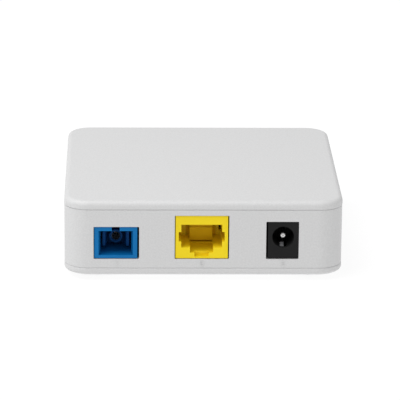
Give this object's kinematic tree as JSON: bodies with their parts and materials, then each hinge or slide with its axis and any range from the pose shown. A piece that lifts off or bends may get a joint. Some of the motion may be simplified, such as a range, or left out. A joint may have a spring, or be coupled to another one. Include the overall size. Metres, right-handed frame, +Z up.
{
  "type": "optical network terminal",
  "caption": "Small square white optical network terminal with an SC fibre socket, a LAN socket and a DC power socket in its rear wall, with sprung contacts and a recessed reset plunger.",
  "frame": {"origin": "on the surface the feet stand on, under the middle of the case", "axes": "+Z up through the lid, the sockets face -Y, the status lights face +Y"},
  "size_m": [0.082, 0.0821, 0.0244],
  "materials": {
    "case_white": "fine moulded texture",
    "foot_rubber": "matt",
    "plate_silver": "blank satin film",
    "screw_steel": "bright zinc plate",
    "board_green": "solder resist",
    "port_blue": "moulded",
    "insert_blue": "moulded",
    "sleeve_bronze": "phosphor bronze",
    "ceramic_white": "polished zirconia",
    "port_yellow": "moulded",
    "carrier_amber": "moulded",
    "port_black": "moulded",
    "contact_gold": "gold plated",
    "pin_nickel": "bright nickel plate",
    "spring_steel": "tin plated spring strip",
    "optics_steel": "machined",
    "chip_black": "moulded epoxy",
    "can_aluminium": "drawn can",
    "chip_ceramic": "fired ceramic",
    "ferrite_grey": "ferrite",
    "light_pipe_clear": "clear moulded plastic",
    "led_resin": "resin lens"
  },
  "bodies": {
    "case": {"top_cover": "case_white", "body_frame": "case_white", "base_cover": "case_white", "foot_rear_left": "foot_rubber", "foot_rear_right": "foot_rubber", "foot_front_left": "foot_rubber", "foot_front_right": "foot_rubber", "rating_plate": "plate_silver", "case_screws": "screw_steel", "board_screws": "screw_steel", "light_pipe": "light_pipe_clear", "main_board": "board_green", "status_leds": "led_resin", "led_resistors": "chip_ceramic", "reset_switch_body": "chip_black", "sc_receptacle": "port_blue", "sc_sleeve_holder": "insert_blue", "sc_split_sleeve": "sleeve_bronze", "sc_fibre_stub": "ceramic_white", "bosa_barrel": "optics_steel", "bosa_block": "optics_steel", "laser_can": "optics_steel", "receiver_can": "optics_steel", "laser_leads": "contact_gold", "receiver_leads": "contact_gold", "rj45_housing": "port_yellow", "rj45_contact_carrier": "carrier_amber", "rj45_contact_tails": "contact_gold", "dc_jack_housing": "port_black", "dc_centre_pin": "pin_nickel", "dc_pin_terminal": "spring_steel", "dc_spring_terminal": "spring_steel", "dc_switch_contact": "spring_steel", "lan_transformer": "chip_black", "network_processor": "chip_black", "flash_memory": "chip_black", "laser_driver": "chip_black", "power_converter": "chip_black", "power_inductor": "ferrite_grey", "input_capacitor": "can_aluminium", "output_capacitor": "can_aluminium", "clock_crystal": "can_aluminium", "chip_capacitors": "chip_ceramic"},
    "reset_button": {"reset_plunger": "chip_black"},
    "sc_hook_left": {"sc_hook_left": "insert_blue"},
    "sc_hook_right": {"sc_hook_right": "insert_blue"},
    "lan_contacts": {"rj45_contact_springs": "contact_gold"},
    "power_spring": {"dc_sleeve_spring": "spring_steel"}
  },
  "joints": [
    {"name": "reset_press", "type": "slide", "parent": "case", "child": "reset_button", "axis": [-1, 0, 0], "range_m": [0, 0.0003], "stiffness_N_per_m": 3000},
    {"name": "hook_left_flex", "type": "hinge", "parent": "case", "child": "sc_hook_left", "pos_m": [-0.0293, -0.02903, 0.0116], "axis": [0, 0, -1], "range_deg": [0, 3.5], "stiffness_Nm_per_rad": 0.05},
    {"name": "hook_right_flex", "type": "hinge", "parent": "case", "child": "sc_hook_right", "pos_m": [-0.0223, -0.02903, 0.0116], "axis": [0, 0, -1], "range_deg": [-3.5, 0], "stiffness_Nm_per_rad": 0.05},
    {"name": "lan_contact_lift", "type": "hinge", "parent": "case", "child": "lan_contacts", "pos_m": [-0.0006, -0.03739, 0.0171], "axis": [1, 0, 0], "range_deg": [0, 10], "stiffness_Nm_per_rad": 0.05},
    {"name": "power_spring_press", "type": "hinge", "parent": "case", "child": "power_spring", "pos_m": [0.023, -0.03085, 0.01], "axis": [1, 0, 0], "range_deg": [0, 4], "stiffness_Nm_per_rad": 0.05}
  ]
}
